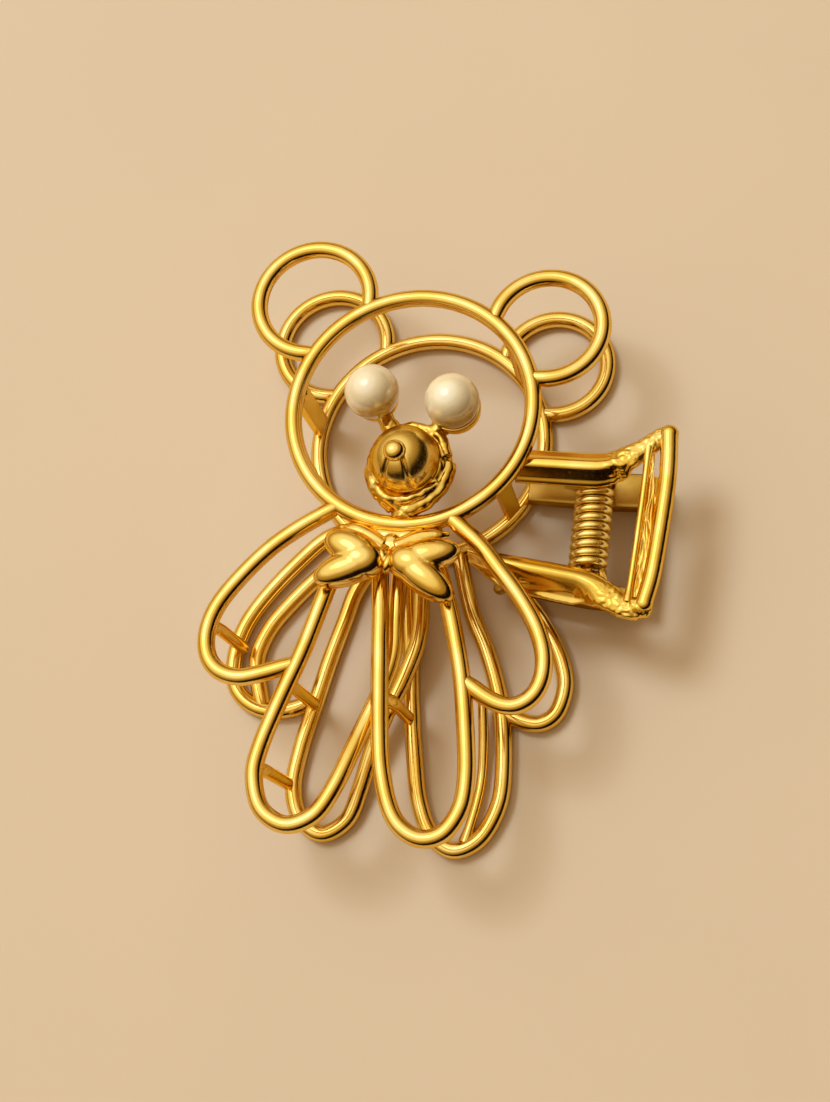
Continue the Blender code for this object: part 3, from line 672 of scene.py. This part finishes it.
for node, arm in arms.items():
    front = arm["body"] == "front_jaw"
    shapes = [bandMesh(arm["stations"], hinge["frontBand"] if front else hinge["rearBand"]),
              slab(arm["skirt"], -0.5, 0.5, arm["skirtY"])]
    if "knob" in arm:
        shapes.append(blob(*arm["knob"]))
    mesh = blendMesh(node, shapes, 0.11, 4)
    if front:
        wrinkle(mesh, **armWrinkles)
    keep(node, mesh, arm["body"], "lever_gold_plate", arm["finish"])

lever = {
    "bar": [(29.7, -1.0), (29.9, -5.0), (29.8, -9.0), (29.2, -17.0), (28.5, -21.0)],
    "barHeight": 11.6, "barRadius": 1.0, "barEnd": (1.05, 1.0, 1.0),
    "rail": [(27.55, -2.6), (27.35, -9.2), (26.95, -17.3), (26.7, -20.9)],
    "railHeight": 11.5, "railRadius": 0.4,
    "web": [(27.6, -2.8), (28.2, -2.6), (28.4, -6.6), (29.0, -9.5), (28.4, -17.3), (28.0, -20.9),
            (27.0, -20.9), (27.2, -17.2), (27.6, -9.2)],
    "webUnderside": 10.75, "webTop": 11.3,
    "webWrinkles": {"start": 20.0, "full": 21.0, "depth": 0.16, "size": 0.45, "streak": 6.0},
    "rearBar": [(27.95, -3.4), (27.8, -12.0), (27.7, -19.2)], "rearBarHeight": 2.8,
}
bar = smooth(lifted(lever["bar"], lever["barHeight"]))
barShapes = [wireMesh("bar", bar, lever["barRadius"])]
barShapes += [blob(tip, lever["barEnd"]) for tip in (bar[0], bar[-1])]
keep("front_lever_bar", blendMesh("bar", barShapes, 0.1, 3), "front_jaw", "lever_gold_plate")
rail = smooth(lifted(lever["rail"], lever["railHeight"]))
railMesh = wireMesh("rail", rail, lever["railRadius"], flareStart=0.5, flareEnd=0.5)
keep("front_lever_rail", railMesh, "front_jaw", "lever_gold_plate")
webMesh = blendMesh("web", [slab(lever["web"], lever["webUnderside"], lever["webTop"])], 0.09, 2)
wrinkle(webMesh, **lever["webWrinkles"])
keep("front_lever_web", webMesh, "front_jaw", "lever_gold_plate", "cast_gold")
rearBar = smooth(lifted(lever["rearBar"], lever["rearBarHeight"]))
keep("rear_lever_bar", wireMesh("rearBar", rearBar, lever["barRadius"]), "rear_jaw", "lever_gold_plate")
pinSteps = [hinge["pinTop"] - hinge["pinLength"] * i / 20 for i in range(21)]
pinPath = [(hinge["pinX"], y, hinge["pinHeight"]) for y in pinSteps]
keep("hinge_pin", wireMesh("pin", pinPath, hinge["pinRadius"], wobble=0.0), "front_jaw", "lever_gold_plate")
print("levers made")

spring = {
    "radius": 1.82, "wire": 0.475, "pitch": 1.05, "turns": 9, "top": -7.0,
    "rearEnd": 251, "frontStart": 290,  # degrees within the last turn, where the two pieces end
}


def springTurns(start, end):
    # points along the coil between two angles in degrees, counted from its top
    steps = math.ceil((end - start) / 8)
    points = []
    for i in range(steps + 1):
        turns = (start + (end - start) * i / steps) / 360
        angle = 2 * math.pi * turns
        points.append((hinge["pinX"] + spring["radius"] * math.cos(angle),
                       spring["top"] - spring["pitch"] * turns,
                       hinge["pinHeight"] + spring["radius"] * math.sin(angle)))
    return points


# the coil is in two pieces that end under the pin, so that one can turn with the front jaw
side = hinge["pinX"] + spring["radius"]
lastTurnStart = (spring["turns"] - 1) * 360
rearLeg = [(side, spring["top"], 3.75), (side, spring["top"], 5.4)]
coil = rearLeg + springTurns(0, lastTurnStart + spring["rearEnd"])
coilMesh = wireMesh("spring", coil, spring["wire"], sides=16, wobble=0.01)
keep("torsion_spring", coilMesh, "rear_jaw", "spring_gold_plate")
lastTurn = springTurns(lastTurnStart + spring["frontStart"], spring["turns"] * 360)
legEnd = lastTurn[-1][1]
frontLeg = [(side, legEnd - 0.1, 7.6), (side, legEnd - 0.6, 8.7), (side + 0.8, -19.0, 9.85)]
legMesh = wireMesh("springLeg", smooth(lastTurn + frontLeg, 2), spring["wire"], sides=16)
keep("spring_leg_front", legMesh, "front_jaw", "spring_gold_plate")
print("spring made")

studio = {
    "tableColour": (0.685, 0.497, 0.322),
    "tableSize": 1.6,
    "brightest": (-0.38, 0.24, 0.90),   # where the big overhead softbox is brightest
    # its light, from the far side of the room up to the middle of the softbox
    "glow": [(0.0, (0.006, 0.003, 0.001)), (0.55, (0.008, 0.004, 0.001)), (0.60, (0.05, 0.030, 0.010)),
             (0.65, (0.33, 0.21, 0.06)), (0.78, (0.52, 0.35, 0.13)), (0.84, (0.78, 0.63, 0.37)),
             (0.885, (1.0, 0.93, 0.74)), (0.975, (1.1, 1.06, 0.92)), (0.99, (2.3, 2.3, 2.15)),
             (1.0, (2.6, 2.6, 2.5))],
    "glowStrength": 1.0,
    "lampPower": 6.2, "lampSize": 0.38, "lampPlace": (-0.40, 0.30, 0.88), "lampAim": (0, 0, 0.005),
    "lampColour": (0.60, 0.79, 1.0),
}


def makeTable():
    body = bmesh.new()
    bmesh.ops.create_grid(body, x_segments=2, y_segments=2, size=studio["tableSize"] / 2)
    mesh = bpy.data.meshes.new("table")
    body.to_mesh(mesh)
    body.free()
    table = bpy.data.objects.new("table", mesh)
    scene.collection.objects.link(table)
    material = bpy.data.materials.new("paleTable")
    material.use_nodes = True
    graph = Graph(material)
    shade = grain(graph, 0.02, 3.0)
    colour = graph.mix(shade, *[[c * tone for c in studio["tableColour"]] for tone in (0.96, 1.04)])
    graph.set(Base_Color=colour, Roughness=0.85)
    mesh.materials.append(material)


def addLamp():
    # it makes the soft shadow; what the gold mirrors is the softbox alone
    lamp = bpy.data.lights.new("shadowLamp", "AREA")
    lamp.shape = "DISK"
    lamp.size = studio["lampSize"]
    lamp.energy = studio["lampPower"]
    lamp.color = studio["lampColour"]
    light = bpy.data.objects.new("shadowLamp", lamp)
    light.location = studio["lampPlace"]
    aim = Vector(studio["lampAim"]) - Vector(studio["lampPlace"])
    light.rotation_euler = aim.to_track_quat("-Z", "Y").to_euler()
    light.visible_glossy = False
    scene.collection.objects.link(light)


def makeWorld():
    world = bpy.data.worlds.new("studio")
    world.use_nodes = True
    scene.world = world
    graph = Graph(world, "Background")
    way = graph.add("ShaderNodeTexCoord")
    toward = Vector(studio["brightest"]).normalized()
    share = graph.add("ShaderNodeVectorMath", {"operation": "DOT_PRODUCT"}, {0: way, 1: toward}, "Value")
    colour = graph.add("ShaderNodeValToRGB", {"stops": studio["glow"]}, {"Fac": share * 0.5 + 0.5})
    graph.set(Color=colour, Strength=studio["glowStrength"])


makeTable()
addLamp()
makeWorld()
scene.view_settings.view_transform = "Standard"

# where the camera stands in mm, how it is turned in degrees, and its focal length over the frame's height
view = {"place": (35.6, -49.85, 171.0), "turn": (17.735, 11.073, 7.459), "focal": 1500, "height": 1102}
lens = bpy.data.cameras.new("camera")
lens.sensor_fit = "VERTICAL"
lens.sensor_height = 36.0
lens.lens = 36.0 * view["focal"] / view["height"]
lens.clip_start = 0.01
camera = bpy.data.objects.new("camera", lens)
camera.location = Vector(view["place"]) * mm
camera.rotation_euler = [math.radians(a) for a in view["turn"]]
scene.collection.objects.link(camera)
scene.camera = camera
print("studio made")
